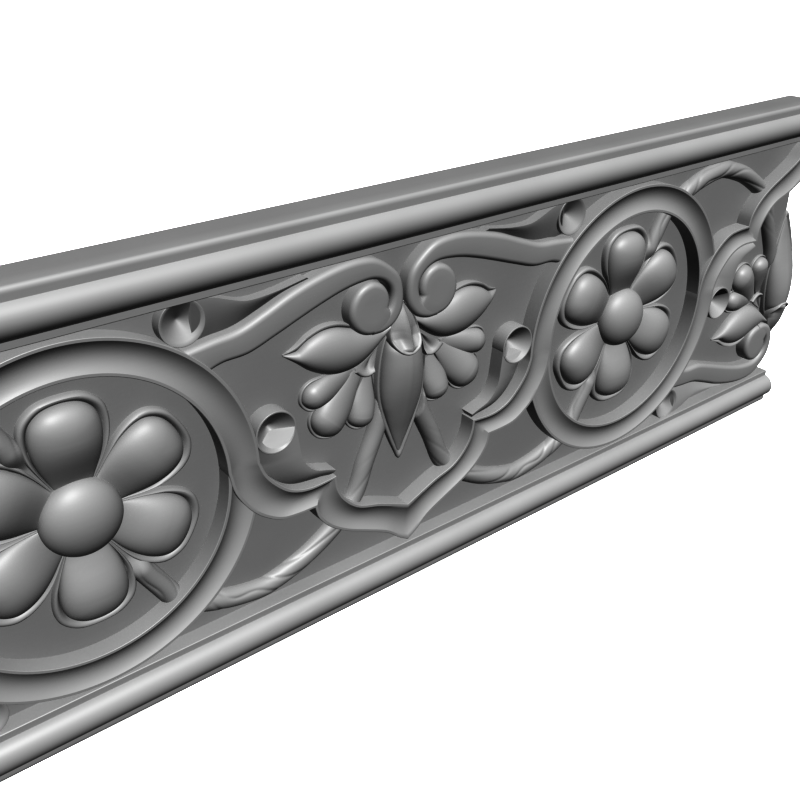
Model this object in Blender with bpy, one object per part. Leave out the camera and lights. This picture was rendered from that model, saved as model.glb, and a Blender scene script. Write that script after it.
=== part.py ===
# A carved hardwood moulding: a flat ground between two moulded rails, with interlaced bands,
# two petalled flowers in rings, scrolls, leaves and buds cut in relief.
# Metres, +Z up. The back lies in the plane Y = 0, the carving looks towards -Y,
# and X = 0 is the axis of the middle bud.
#
# Outlines are written in millimetres as (x, z): x is the distance from the axis of the middle
# bud, z the height above the middle line. Heights of relief are measured from the ground.
# The pattern is one quarter, mirrored in x and turned half round about each ring.

import math

import bmesh
import bpy
import numpy as np

MM = 0.001
CURVE_SAMPLES = 24               # points read on each span of a curve before it is spaced evenly

LENGTH = 500.0
RING_X = LENGTH / 4
BOARD_THICKNESS = 9.5
SINK = 2.0
LAP = 0.1                        # no two forms share a face: each is set this much off the next

# The rail, as heights above the ground and distances from the middle line
HALF_HEIGHT = 80.5
LEDGE_START = 62.6
LEDGE_HEIGHT = 6.3
BEAD_CENTRE = 71.1
BEAD_BASE = 5.2
BEAD_RADIUS = 6.0
FILLET_HEIGHT = 7.6
OVOLO_START = 78.6
OVOLO_EDGE_HEIGHT = 6.2
OVOLO_TURN = (0.9, 0.6)          # the middle of its round, in front of and inside its edge
BEAD_STEPS = 8

# The band: a shallow hollow between two narrow rims
BAND_HEIGHT = 6.9
BAND_HOLLOW = 1.9
RING_OUTER = 61.3
RING_INNER = 49.3
BAND_ACROSS = (0.0, 0.09, 0.35, 0.65, 0.91, 1.0)
RING_STEPS = 15
OGEE_STEPS = 6
UNDER_DIP = 0.5

# Where a band dives under its neighbour: radius about the ring, degrees below the level
UNDER_RADII = (49.3, 51.8, 57.8, 61.3)
UNDER_ANGLES = (1.0, 8.8, 15.8, 18.2)

OGEE_OUTER = [(63.7, 0.0), (61.3, -6.0), (56.9, -11.6), (51.1, -16.2), (43.3, -18.2), (33.2, -17.6)]
OGEE_INNER = [(75.7, 0.0), (73.9, -8.5), (69.5, -16.3), (64.7, -21.6), (57.9, -26.0),
              (51.1, -27.2), (42.9, -27.4)]
CUSP_OUTER = [(33.2, -17.6), (32.7, -22.1), (30.8, -26.9), (26.9, -31.8), (22.0, -35.2),
              (14.3, -37.6), (7.5, -40.5), (0.0, -43.9)]
CUSP_INNER = [(42.9, -27.4), (41.4, -32.7), (36.6, -38.6), (29.8, -43.4), (20.1, -48.2),
              (10.4, -53.1), (4.6, -57.9), (0.0, -60.9)]

# The scroll strand, as pairs of points on its upper and lower edges, from ring to volute
SCROLL_HEIGHT = 6.2
SCROLL_SHOULDER = 1.6
SCROLL_ACROSS = (0.0, 0.16, 0.84, 1.0)
SCROLL_UPPER = [(86.4, 46.8), (76.3, 48.1), (66.6, 49.1), (56.9, 52.5), (47.2, 56.4), (37.5, 59.3),
                (27.9, 61.2), (20.1, 61.7), (13.3, 60.7), (7.5, 57.3), (2.7, 52.5), (0.9, 46.7),
                (1.3, 39.9), (4.6, 34.9), (10.0, 32.4)]
SCROLL_LOWER = [(77.8, 38.0), (72.5, 39.3), (63.5, 39.8), (53.0, 43.2), (44.0, 46.4), (35.5, 49.3),
                (27.2, 51.7), (20.0, 52.9), (14.5, 53.0), (10.2, 51.5), (7.2, 48.6), (6.2, 45.0),
                (7.2, 41.0), (10.4, 38.6), (13.6, 37.0)]
SCROLL_STEPS = 17
VOLUTE_CENTRE = (14.3, 42.3)
VOLUTE_RADIUS = 9.7
VOLUTE_GROOVE = (55.0, 90.0, 115.0, 156.0, 191.0)
VOLUTE_INNER_RADII = (9.9, 9.9, 9.3, 7.7, 6.5)
VOLUTE_STEPS = 16
VOLUTE_EDGE = (1.3, 1.1)         # inset and drop of its rounded edge

# Eyes: short posts with a countersunk hollow, (x, z, radius, height)
EYES = [(84.6, 55.8, 7.7, 4.5), (56.4, 8.7, 8.0, 6.5)]
EYE_RIM = 0.6
EYE_FLOOR = 0.3
EYE_PIT = 0.4
EYE_STEPS = 12

# Tails run from each eye to a point; free edge, edge buried in the neighbour, and their heights
HIGH_TAIL_FREE = [(81.2, 62.9), (74.3, 61.7), (68.5, 59.4), (61.8, 57.4), (52.1, 57.8), (40.0, 59.8)]
HIGH_TAIL_BURIED = [(83.0, 48.2), (76.3, 47.2), (66.6, 48.2), (58.0, 51.2), (48.0, 55.2), (38.0, 58.3)]
LOW_TAIL_FREE = [(48.4, 8.0), (47.7, -1.5), (45.6, -8.3), (41.0, -12.6), (33.6, -15.4)]
LOW_TAIL_BURIED = [(64.6, 5.0), (62.2, -5.8), (56.6, -13.2), (48.0, -18.4), (36.0, -18.6)]
TAIL_STEPS = 5
TAIL_FLOOR = 1.2
TAIL_ACROSS = (0.0, 0.06, 0.5, 1.0)

# Stems, half round, drawn as a middle line
STEM_RADIUS = 4.1
STEM_HEIGHT = 4.0
STEM_LIFT = 0.25                 # how far its sides stand off the ground
STEM_LEAN = 60.0                 # of the flower's stem, in degrees from level
LOW_STEM = [(6.2, 5.0), (8.5, -1.0), (11.4, -9.5), (16.2, -20.1), (21.6, -33.2), (30.0, -42.3), (42.4, -50.2),
            (53.0, -54.3), (63.7, -56.7), (76.3, -55.0), (88.5, -51.0), (94.5, -47.5)]
STEM_STEPS = 12
STEM_ACROSS = (0.0, 0.25, 0.75, 1.0)

# The flower
FLOWER_CENTRE = (123.9, 1.4)
PETALS = 6
PETAL_STATIONS = (9.0, 17.0, 24.0, 31.0, 36.8, 39.8, 41.3)
PETAL_HALF_WIDTHS = (4.8, 9.6, 12.7, 13.5, 11.6, 8.4, 3.2)
PETAL_CROWNS = (2.6, 4.9, 6.8, 7.4, 5.8, 2.6, 2.4)
PETAL_ACROSS = (-1.0, -0.8, -0.42, 0.42, 0.8, 1.0)
PETAL_LIP = 2.35
PETAL_GROOVE = 2.15
PETAL_STEP = 0.02                # each petal lies this much lower than the one before it
HUB_RADIUS = 13.2
HUB_BASE = 2.0
HUB_RISE = 7.8
HUB_SEGMENTS = 16
HUB_RINGS = 8

# Leaf beside the volute, upper and lower edges from the tip inwards
LEAF_UPPER = [(48.2, 33.2), (44.3, 34.9), (39.5, 38.0), (33.7, 39.9), (27.9, 39.7), (21.0, 37.5),
              (12.0, 35.5), (5.0, 34.5)]
LEAF_LOWER = [(48.2, 32.6), (44.0, 29.0), (38.5, 24.4), (31.7, 21.0), (24.9, 20.1), (18.2, 21.5),
              (11.8, 25.6), (4.2, 32.5)]
LEAF_CROWN = 6.0
LEAF_STEPS = 8
LEAF_ACROSS = (0.0, 0.12, 0.4, 0.75, 1.0)
LEAF_SHAPE = (0.38, 0.34, 0.95, 1.0, 0.12)

# Lobes under the leaf: root, rounded end, half width near the end, crown height
LOBES = [((20.9, 18.2), (43.4, 13.2), 6.0, 4.6),
         ((18.5, 17.4), (37.7, -2.6), 7.6, 5.2),
         ((13.4, 15.8), (20.0, -4.9), 5.8, 4.6)]
LOBE_STATIONS = (0.0, 0.35, 0.68, 0.87, 0.97, 1.0)
LOBE_WIDTHS = (0.3, 0.66, 1.0, 0.9, 0.56, 0.2)
LOBE_ACROSS = (0.0, 0.24, 0.76, 1.0)
LOBE_LIP = 0.9
LOBE_FOOT = 0.9                  # crown height where a lobe's width runs out
CUFF = [(10.3, 25.4), (20.4, 18.3), (15.6, 15.2), (12.3, 15.6)]
CUFF_HEIGHT = 2.8

# Buds: stations up the axis, half widths and crown heights
BUD_STATIONS = (-25.6, -17.0, -8.0, 1.0, 9.0, 17.0, 24.0, 28.5)
BUD_HALF_WIDTHS = (0.4, 4.4, 8.0, 10.6, 11.5, 11.0, 9.2, 5.0)
BUD_CROWNS = (0.8, 3.2, 6.0, 7.9, 8.7, 8.4, 7.2, 5.0)
BUD_ACROSS = (0.0, 0.14, 0.36, 0.64, 0.86, 1.0)
BUD_LIP = 0.6
CAP_STATIONS = (20.4, 22.0, 26.5, 31.0, 37.0, 41.4)
CAP_HALF_WIDTHS = (2.6, 4.8, 5.8, 5.2, 3.8, 1.5)
CAP_CROWNS = (9.2, 9.7, 9.3, 8.5, 7.2, 6.0)
CAP_ACROSS = (0.0, 0.2, 0.5, 0.8, 1.0)
CAP_LIP = 4.9


# Curves

def spread(points, count):
    """Evenly spaced points on a smooth curve through the given ones (Catmull-Rom)."""
    p = np.array(points, float)
    p = np.vstack([2 * p[0] - p[1], p, 2 * p[-1] - p[-2]])
    t = np.linspace(0, 1, CURVE_SAMPLES, endpoint=False)[:, None]
    pieces = []
    for a, b, c, d in zip(p[:-3], p[1:-2], p[2:-1], p[3:]):
        pieces.append(0.5 * (2 * b + (c - a) * t + (2 * a - 5 * b + 4 * c - d) * t ** 2
                             + (3 * b - a - 3 * c + d) * t ** 3))
    fine = np.vstack(pieces + [p[-2:-1]])
    run = np.concatenate([[0], np.cumsum(np.linalg.norm(np.diff(fine, axis=0), axis=1))])
    at = np.linspace(0, run[-1], count)
    return np.stack([np.interp(at, run, fine[:, 0]), np.interp(at, run, fine[:, 1])], axis=1)


def paired(points, count):
    """A Catmull-Rom curve read at even steps of the point number, so two edges stay matched."""
    p = np.array(points, float)
    p = np.vstack([2 * p[0] - p[1], p, 2 * p[-1] - p[-2]])
    at = np.linspace(0, len(points) - 1, count)
    k = np.minimum(at.astype(int), len(points) - 2)
    t = (at - k)[:, None]
    a, b, c, d = p[k], p[k + 1], p[k + 2], p[k + 3]
    return 0.5 * (2 * b + (c - a) * t + (2 * a - 5 * b + 4 * c - d) * t ** 2
                  + (3 * b - a - 3 * c + d) * t ** 3)


# Solids

def place(points, side, turned):
    """Carry pattern points (x, height, z) in millimetres to one of the four quarters, in metres."""
    x = np.where(turned, LENGTH / 2 - points[..., 0], points[..., 0]) * side
    z = points[..., 2] * (-1 if turned else 1)
    return np.stack([x, -(BOARD_THICKNESS + points[..., 1]), z], axis=-1) * MM


def add_solid(name, bm, collection):
    """Turn a bmesh into an object with its faces looking out."""
    bmesh.ops.recalc_face_normals(bm, faces=bm.faces[:])
    mesh = bpy.data.meshes.new(name)
    bm.to_mesh(mesh)
    bm.free()
    thing = bpy.data.objects.new(name, mesh)
    collection.objects.link(thing)
    return thing


def loft(name, sections, collection):
    """A closed solid through rings of points; sections is an array (rings, points, 3)."""
    bm = bmesh.new()
    rings = [[bm.verts.new(point) for point in ring] for ring in sections.tolist()]
    count = len(rings[0])
    for near, far in zip(rings[:-1], rings[1:]):
        for i in range(count):
            j = (i + 1) % count
            bm.faces.new((near[i], near[j], far[j], far[i]))
    bm.faces.new(rings[0])
    bm.faces.new(rings[-1])
    return add_solid(name, bm, collection)


def rooted(top, sink):
    """Close each ring of top points with a point below its first and its last one."""
    first = top[:, :1].copy()
    last = top[:, -1:].copy()
    first[..., 1] = -sink
    last[..., 1] = -sink
    return np.concatenate([first, top, last], axis=1)


def strip_rings(edge_a, edge_b, across, heights, sink):
    """Rings for a strip between two matched edges: heights is (rings, len(across))."""
    across = np.asarray(across)[None, :, None]
    flat = edge_a[:, None, :] * (1 - across) + edge_b[:, None, :] * across
    return rooted(np.concatenate([flat[..., :1], heights[..., None], flat[..., 1:]], axis=-1), sink)


def four_quarters(name, rings, collection):
    """The same solid in all four quarters of the pattern."""
    for side in (1, -1):
        for turned in (False, True):
            loft(name, place(rings, side, turned), collection)


# The board with its rails

def rail_outline():
    """(height above the ground, distance from the middle line) up one rail, from inside outwards."""
    points = [(0.0, LEDGE_START), (LEDGE_HEIGHT, LEDGE_START)]
    first = math.asin((LEDGE_HEIGHT - BEAD_BASE) / BEAD_RADIUS)
    last = math.pi - math.asin((FILLET_HEIGHT - BEAD_BASE) / BEAD_RADIUS)
    for i in range(BEAD_STEPS + 1):
        turn = first + (last - first) * i / BEAD_STEPS
        points.append((BEAD_BASE + BEAD_RADIUS * math.sin(turn),
                       BEAD_CENTRE - BEAD_RADIUS * math.cos(turn)))
    points += [(FILLET_HEIGHT, OVOLO_START),
               (OVOLO_EDGE_HEIGHT + OVOLO_TURN[0], HALF_HEIGHT - OVOLO_TURN[1]),
               (OVOLO_EDGE_HEIGHT, HALF_HEIGHT)]
    return points


def make_board(collection):
    """The ground and both rails: one outline in Y and Z, extruded along X."""
    rail = rail_outline()
    upper = [(-(BOARD_THICKNESS + h), z) for h, z in rail]
    lower = [(y, -z) for y, z in reversed(upper)]
    outline = [(0.0, -HALF_HEIGHT)] + lower + upper + [(0.0, HALF_HEIGHT)]
    curve = bpy.data.curves.new("board outline", "CURVE")
    curve.dimensions = "2D"
    curve.fill_mode = "BOTH"
    curve.extrude = LENGTH / 2 * MM
    line = curve.splines.new("POLY")
    line.points.add(len(outline) - 1)
    for point, (y, z) in zip(line.points, outline):
        point.co = (y * MM, z * MM, 0.0, 1.0)
    line.use_cyclic_u = True
    drawn = bpy.data.objects.new("board outline", curve)
    # the curve's own x, y and depth become Y, Z and X
    drawn.rotation_euler = (math.pi / 2, 0.0, math.pi / 2)
    collection.objects.link(drawn)
    bpy.context.view_layer.update()
    evaluated = drawn.evaluated_get(bpy.context.evaluated_depsgraph_get())
    mesh = bpy.data.meshes.new_from_object(evaluated)
    bm = bmesh.new()
    bm.from_mesh(mesh)
    bmesh.ops.remove_doubles(bm, verts=bm.verts[:], dist=0.01 * MM)
    bmesh.ops.recalc_face_normals(bm, faces=bm.faces[:])
    bm.to_mesh(mesh)
    bm.free()
    board = bpy.data.objects.new("carved_moulding", mesh)
    board.matrix_world = drawn.matrix_world
    collection.objects.link(board)
    bpy.data.objects.remove(drawn)
    return board


# Bands

def band_heights(count, across, dip):
    """Rims at full height with a hollow between; dip lowers the first rings under a neighbour."""
    across = np.asarray(across)
    rim = across[1]
    hollow = 1 - ((across - 0.5) / (0.5 - rim)) ** 2
    row = BAND_HEIGHT - BAND_HOLLOW * np.clip(hollow, 0, None)
    fall = dip * np.clip(1 - np.arange(count) / 3, 0, 1) ** 2
    return row[None, :] - fall[:, None]


def strand_rings():
    """One quarter of the interlace: from under the neighbour, round the ring, down the ogee."""
    across = np.asarray(BAND_ACROSS)
    radii = RING_OUTER + (RING_INNER - RING_OUTER) * across
    start = np.radians(np.interp(radii, UNDER_RADII, UNDER_ANGLES))
    t = np.linspace(0, 1, RING_STEPS + 1)[:, None]
    turn = start[None, :] * (1 - t) + math.pi * t
    arc = np.stack([RING_X + radii * np.cos(turn), radii * np.sin(turn)], axis=-1)
    rows = [arc]
    for outer, inner, steps in ((OGEE_OUTER, OGEE_INNER, OGEE_STEPS),
                                (CUSP_OUTER, CUSP_INNER, OGEE_STEPS)):
        a = spread(outer, steps + 1)[1:, None, :]
        b = spread(inner, steps + 1)[1:, None, :]
        s = across[None, :, None]
        rows.append(a * (1 - s) + b * s)
    flat = np.concatenate(rows)
    heights = band_heights(len(flat), BAND_ACROSS, UNDER_DIP)
    return rooted(np.concatenate([flat[..., :1], heights[..., None], flat[..., 1:]], axis=-1), SINK)


def make_bands(collection):
    """The middle strand runs through from ring to ring; an end strand runs out at each end."""
    quarter = strand_rings()
    left = place(quarter, -1, False)
    right = place(quarter, 1, False)[::-1]
    loft("middle strand", np.concatenate([left, right[1:]]), collection)
    for side in (1, -1):
        loft("end strand", place(quarter, side, True), collection)


# Scrolls

def make_scrolls(collection):
    """A flat-topped strand with rounded shoulders that curls into a volute."""
    row = np.array([SCROLL_HEIGHT - SCROLL_SHOULDER, SCROLL_HEIGHT, SCROLL_HEIGHT,
                    SCROLL_HEIGHT - SCROLL_SHOULDER])
    heights = np.repeat(row[None, :], SCROLL_STEPS + 1, axis=0)
    rings = strip_rings(paired(SCROLL_UPPER, SCROLL_STEPS + 1), paired(SCROLL_LOWER, SCROLL_STEPS + 1),
                        SCROLL_ACROSS, heights, SINK + 3 * LAP)
    four_quarters("scroll", rings, collection)
    # the volute's eye is a disc whose radius shrinks along the groove
    turn = np.arange(VOLUTE_STEPS) * 360.0 / VOLUTE_STEPS
    radius = np.where((turn > VOLUTE_GROOVE[0]) & (turn < VOLUTE_GROOVE[-1]),
                      np.interp(turn, VOLUTE_GROOVE, VOLUTE_INNER_RADII), VOLUTE_RADIUS)
    top = SCROLL_HEIGHT - LAP
    levels = ((-SINK - 6 * LAP, 0.0), (top - VOLUTE_EDGE[1], 0.0), (top, VOLUTE_EDGE[0]))
    rings = []
    for height, inset in levels:
        r = radius - inset
        rings.append(np.stack([VOLUTE_CENTRE[0] + r * np.cos(np.radians(turn)),
                               np.full(VOLUTE_STEPS, height),
                               VOLUTE_CENTRE[1] + r * np.sin(np.radians(turn))], axis=-1))
    four_quarters("volute", np.array(rings), collection)


# Eyes and tails

def make_eyes(collection):
    """Turned posts, each a profile about its own axis: wall, narrow rim, then a cone inwards."""
    for x, z, radius, height in EYES:
        turn = np.arange(EYE_STEPS) * 2 * math.pi / EYE_STEPS
        levels = ((radius, -SINK - 9 * LAP), (radius, height), (radius - EYE_RIM, height),
                  (EYE_PIT, EYE_FLOOR))
        rings = np.array([np.stack([x + r * np.cos(turn), np.full(EYE_STEPS, h),
                                    z + r * np.sin(turn)], axis=-1) for r, h in levels])
        four_quarters("eye", rings, collection)


def make_tails(collection):
    """Hollow tails: high along the free edge, falling towards the neighbour, closing at the tip."""
    for free, buried, crest in ((HIGH_TAIL_FREE, HIGH_TAIL_BURIED, EYES[0][3]),
                                (LOW_TAIL_FREE, LOW_TAIL_BURIED, EYES[1][3])):
        along = np.linspace(0, 1, TAIL_STEPS + 1)
        floor = TAIL_FLOOR + (crest - TAIL_FLOOR) * along ** 2
        edge = np.full_like(along, crest - 2 * LAP)
        heights = np.stack([edge, edge, (crest + floor) / 2 - 5 * LAP, floor - 3 * LAP], axis=1)
        heights[0, 2:] = -3 * LAP        # it starts below the eye's hollow, which stays open
        rings = strip_rings(paired(free, TAIL_STEPS + 1), paired(buried, TAIL_STEPS + 1),
                            TAIL_ACROSS, heights, SINK + 12 * LAP)
        four_quarters("tail", rings, collection)


# Stems

def half_round(points, steps, sink):
    """A half-round rod along a middle line."""
    middle = spread(points, steps + 1)
    along = np.gradient(middle, axis=0)
    along /= np.linalg.norm(along, axis=1, keepdims=True)
    out = np.stack([-along[:, 1], along[:, 0]], axis=1) * STEM_RADIUS
    across = np.array(STEM_ACROSS)
    row = STEM_HEIGHT * np.sqrt(1 - (2 * across - 1) ** 2) + STEM_LIFT
    heights = np.repeat(row[None, :], steps + 1, axis=0)
    return strip_rings(middle + out, middle - out, across, heights, sink)


def make_stems(collection):
    """The low stem in each quarter, and a straight one behind each flower."""
    rings = half_round(LOW_STEM, STEM_STEPS, SINK + 1.5)
    four_quarters("stem", rings, collection)
    reach = (RING_INNER + RING_OUTER) / 2
    lean = math.radians(STEM_LEAN)
    for side in (1, -1):
        cx, cz = FLOWER_CENTRE
        ends = [(cx - reach * math.cos(lean), cz - reach * math.sin(lean)), (cx, cz),
                (cx + reach * math.cos(lean), cz + reach * math.sin(lean))]
        rings = half_round(ends, 2, SINK + 1.8)
        loft("flower stem", place(rings, side, False), collection)


# Flowers

def petal_rings():
    """Rings along a petal that lies on +x: a lip, a groove inside it and a crowned pillow."""
    across = np.array(PETAL_ACROSS)
    rings = []
    for at, half, crown in zip(PETAL_STATIONS, PETAL_HALF_WIDTHS, PETAL_CROWNS):
        row = np.array([PETAL_LIP, PETAL_GROOVE, crown, crown, PETAL_GROOVE, PETAL_LIP])
        top = np.stack([np.full(6, at), row, across * half], axis=-1)
        rings.append(top)
    return rooted(np.array(rings), SINK + 5 * LAP)


def make_flowers(collection):
    """Six petals round a domed hub, in each ring."""
    petal = petal_rings()
    cx, cz = FLOWER_CENTRE
    for side in (1, -1):
        for k in range(PETALS):
            turn = math.radians(90 + 360 / PETALS * k)
            x = cx + petal[..., 0] * math.cos(turn) - petal[..., 2] * math.sin(turn)
            z = cz + petal[..., 0] * math.sin(turn) + petal[..., 2] * math.cos(turn)
            h = petal[..., 1] - PETAL_STEP * k
            loft("petal", place(np.stack([x, h, z], axis=-1), side, False), collection)
        bm = bmesh.new()
        bmesh.ops.create_uvsphere(bm, u_segments=HUB_SEGMENTS, v_segments=HUB_RINGS,
                                  radius=1.0)
        for vert in bm.verts:
            vert.co.x = (side * cx + HUB_RADIUS * vert.co.x) * MM
            vert.co.z = (cz + HUB_RADIUS * vert.co.z) * MM
            vert.co.y = -(BOARD_THICKNESS + HUB_BASE - HUB_RISE * vert.co.y) * MM
        add_solid("hub", bm, collection)


# Leaves, lobes and buds

def make_leaves(collection):
    """A pointed leaf with a full belly, tucked under the volute."""
    along = np.linspace(0, 1, LEAF_STEPS + 1)
    swell = LEAF_CROWN * np.sin(np.pi * np.clip(along, 0, 0.9) / 1.1) ** 0.7
    heights = 3 * LAP + swell[:, None] * np.array(LEAF_SHAPE)[None, :]
    rings = strip_rings(paired(LEAF_UPPER, LEAF_STEPS + 1), paired(LEAF_LOWER, LEAF_STEPS + 1),
                        LEAF_ACROSS, heights, SINK + 8 * LAP)
    four_quarters("leaf", rings, collection)


def pod_rings(root, tip, stations, half_widths, crowns, across, lip, sink):
    """A crowned pod along an axis from root to tip; stations are distances along it."""
    root = np.array(root, float)
    along = np.array(tip, float) - root
    along /= np.linalg.norm(along)
    out = np.array([-along[1], along[0]])
    middle = root + np.outer(stations, along)
    half = np.array(half_widths)[:, None]
    across = np.asarray(across)
    round_top = np.sqrt(np.clip(1 - (2 * across - 1) ** 2, 0, 1))
    heights = lip + (np.array(crowns)[:, None] - lip) * round_top[None, :]
    return strip_rings(middle + out * half, middle - out * half, across, heights, sink)


def make_lobes(collection):
    """Three rounded lobes in a fan, gathered by a small cuff."""
    for number, (root, tip, half, crown) in enumerate(LOBES):
        size = math.dist(root, tip)
        stations = np.array(LOBE_STATIONS) * size
        widths = np.array(LOBE_WIDTHS) * half
        crowns = LOBE_FOOT + (crown - LOBE_FOOT) * np.array(LOBE_WIDTHS)
        rings = pod_rings(root, tip, stations, widths, crowns, LOBE_ACROSS, LOBE_LIP,
                          SINK + (10 + number) * LAP)
        four_quarters("lobe", rings, collection)
    outline = np.array(CUFF)
    middle = outline.mean(axis=0)
    rings = []
    for height, scale in ((-SINK - 2 * LAP, 1.0), (CUFF_HEIGHT - 0.7, 1.0), (CUFF_HEIGHT, 0.7)):
        ring = middle + (outline - middle) * scale
        rings.append(np.stack([ring[:, 0], np.full(4, height), ring[:, 1]], axis=-1))
    four_quarters("cuff", np.array(rings), collection)


def make_buds(collection):
    """A long pointed bud on the middle axis, one at each end turned the other way up."""
    bud = pod_rings((0, 0), (0, 1), BUD_STATIONS, BUD_HALF_WIDTHS, BUD_CROWNS, BUD_ACROSS, BUD_LIP,
                    SINK + 4 * LAP)
    cap = pod_rings((0, 0), (0, 1), CAP_STATIONS, CAP_HALF_WIDTHS, CAP_CROWNS, CAP_ACROSS, CAP_LIP,
                    SINK + 7 * LAP)
    for name, rings in (("bud", bud), ("cap", cap)):
        loft(name, place(rings, 1, False), collection)
        for side in (1, -1):
            loft(name, place(rings, side, True), collection)


# The whole moulding

def main():
    for thing in list(bpy.data.objects):
        bpy.data.objects.remove(thing)
    part = bpy.data.collections.new("carved moulding")
    carving = bpy.data.collections.new("carving")
    for collection in (part, carving):
        bpy.context.scene.collection.children.link(collection)
    board = make_board(part)
    for make in (make_bands, make_scrolls, make_eyes, make_tails, make_stems, make_flowers,
                 make_leaves, make_lobes, make_buds):
        make(carving)
    for thing in carving.objects:
        thing.hide_render = True
        thing.display_type = "WIRE"
    union = board.modifiers.new("carving", "BOOLEAN")
    union.operation = "UNION"
    union.operand_type = "COLLECTION"
    union.collection = carving
    union.solver = "EXACT"
    wood = bpy.data.materials.new("primed hardwood")
    wood.use_nodes = True
    shader = wood.node_tree.nodes["Principled BSDF"]
    shader.inputs["Base Color"].default_value = (0.32, 0.32, 0.32, 1.0)
    shader.inputs["Roughness"].default_value = 0.55
    shader.inputs["Metallic"].default_value = 0.0
    board.data.materials.append(wood)


main()
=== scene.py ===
import math

import bmesh
import bpy
import numpy as np
from mathutils import Matrix, Vector


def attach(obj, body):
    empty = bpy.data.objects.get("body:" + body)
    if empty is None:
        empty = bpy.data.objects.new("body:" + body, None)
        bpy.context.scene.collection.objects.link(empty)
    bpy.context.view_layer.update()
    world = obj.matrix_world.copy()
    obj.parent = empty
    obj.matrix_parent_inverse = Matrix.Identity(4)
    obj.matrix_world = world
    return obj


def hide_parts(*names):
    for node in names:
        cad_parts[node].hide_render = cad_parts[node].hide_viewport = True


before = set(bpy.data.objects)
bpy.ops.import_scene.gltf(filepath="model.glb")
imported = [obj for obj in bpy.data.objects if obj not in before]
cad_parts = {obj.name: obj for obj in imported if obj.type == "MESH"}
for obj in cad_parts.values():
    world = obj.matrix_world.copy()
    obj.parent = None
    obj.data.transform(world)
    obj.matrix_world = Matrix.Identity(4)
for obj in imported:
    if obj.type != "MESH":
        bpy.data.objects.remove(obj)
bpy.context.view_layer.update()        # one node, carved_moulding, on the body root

mm = 0.001

# Outlines are in millimetres as (x, z): x from the axis of the middle bud, z above the middle line.
# Heights are measured from the ground, towards the viewer. The pattern is one quarter, mirrored
# left and right, and turned half round about each ring.
pattern = {
    "length": 500.0,
    "ground": 9.5,           # from the flat back to the ground
    "sink": 3.0,             # how far each carved form is rooted in the board
    "sharpAngle": 34.0,      # edges that fold more than this stay crisp
    "weld": 0.0001,          # points closer than this are one
}
quarters = [(1, False), (1, True), (-1, False), (-1, True)]


# Curves and surfaces

def smoothCurve(points, count, evenly=True):
    # Catmull-Rom: a cubic between each two points whose end slopes are half the step between the
    # points on either side; read at even arc length, or at even point number for matched edges
    p = np.array(points, float)
    p = np.vstack([2 * p[0] - p[1], p, 2 * p[-1] - p[-2]])
    last = len(points) - 1
    at = np.linspace(0, last, 60 * last + 1 if evenly else count)
    k = np.minimum(at.astype(int), last - 1)
    t = (at - k)[:, None]
    a, b, c, d = p[k], p[k + 1], p[k + 2], p[k + 3]
    curve = 0.5 * (2 * b + (c - a) * t + (2 * a - 5 * b + 4 * c - d) * t ** 2
                   + (3 * b - a - 3 * c + d) * t ** 3)
    if not evenly:
        return curve
    run = np.concatenate([[0], np.cumsum(np.linalg.norm(np.diff(curve, axis=0), axis=1))])
    even = np.linspace(0, run[-1], count)
    return np.stack([np.interp(even, run, curve[:, 0]), np.interp(even, run, curve[:, 1])], axis=1)


def placed(points, side=1, turned=False):
    # pattern points (x, height, z) in millimetres to one quarter of the board, in metres
    x = (pattern["length"] / 2 - points[..., 0] if turned else points[..., 0]) * side
    z = -points[..., 2] if turned else points[..., 2]
    return np.stack([x, -(pattern["ground"] + points[..., 1]), z], axis=-1) * mm


def rooted(top):
    # a strip's cross-sections with a straight wall down into the board at both sides
    foot = top[:, [0, -1]].copy()
    foot[..., 1] = -pattern["sink"]
    return np.concatenate([foot[:, :1], top, foot[:, 1:]], axis=1)


def between(edgeA, edgeB, across):
    # in plan, edgeA * (1 - across) + edgeB * across for each station of the two edges
    share = across[..., None]
    return edgeA[:, None] * (1 - share) + edgeB[:, None] * share


def raised(plan, heights):
    # each point (x, z) of a plan gets its own height above the ground
    return np.concatenate([plan[..., :1], heights[..., None], plan[..., 1:]], axis=-1)


def shoulders(width, radius, height, steps=7):
    # a flat top whose two edges are quarter rounds: at a distance r(1 - cos a) from an edge the
    # top lies r(1 - sin a) lower, with r at most 0.49 of the width, so that the two never meet;
    # returns the share across and the height, for each station
    a = np.linspace(0, math.pi / 2, steps)
    r = np.minimum(radius, 0.49 * width)[:, None]
    near = r * (1 - np.cos(a)) / width[:, None]
    low = height - r * (1 - np.sin(a))
    return np.hstack([near, 1 - near[:, ::-1]]), np.hstack([low, low[:, ::-1]])


def turnedForm(centre, profile, radius=None, steps=72):
    # rings about a centre: a profile of (radius, height) carried round it, or of (inset, height)
    # where the radius of the outline is given as a function of the angle
    a = np.arange(steps) * 2 * math.pi / steps
    profile = np.array(profile, float)
    size = profile[:, :1] + 0 * a if radius is None else radius(a) - profile[:, :1]
    return np.stack([centre[0] + size * np.cos(a), profile[:, 1:] + 0 * size,
                     centre[1] + size * np.sin(a)], axis=-1)


def insetBy(outline, distance):
    # each point of an outline moves in, square to it: along the slope turned a quarter round
    slope = np.gradient(outline, axis=0)
    slope /= np.linalg.norm(slope, axis=1, keepdims=True)
    return outline + np.stack([slope[:, 1], -slope[:, 0]], axis=1) * distance[:, None]


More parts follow.
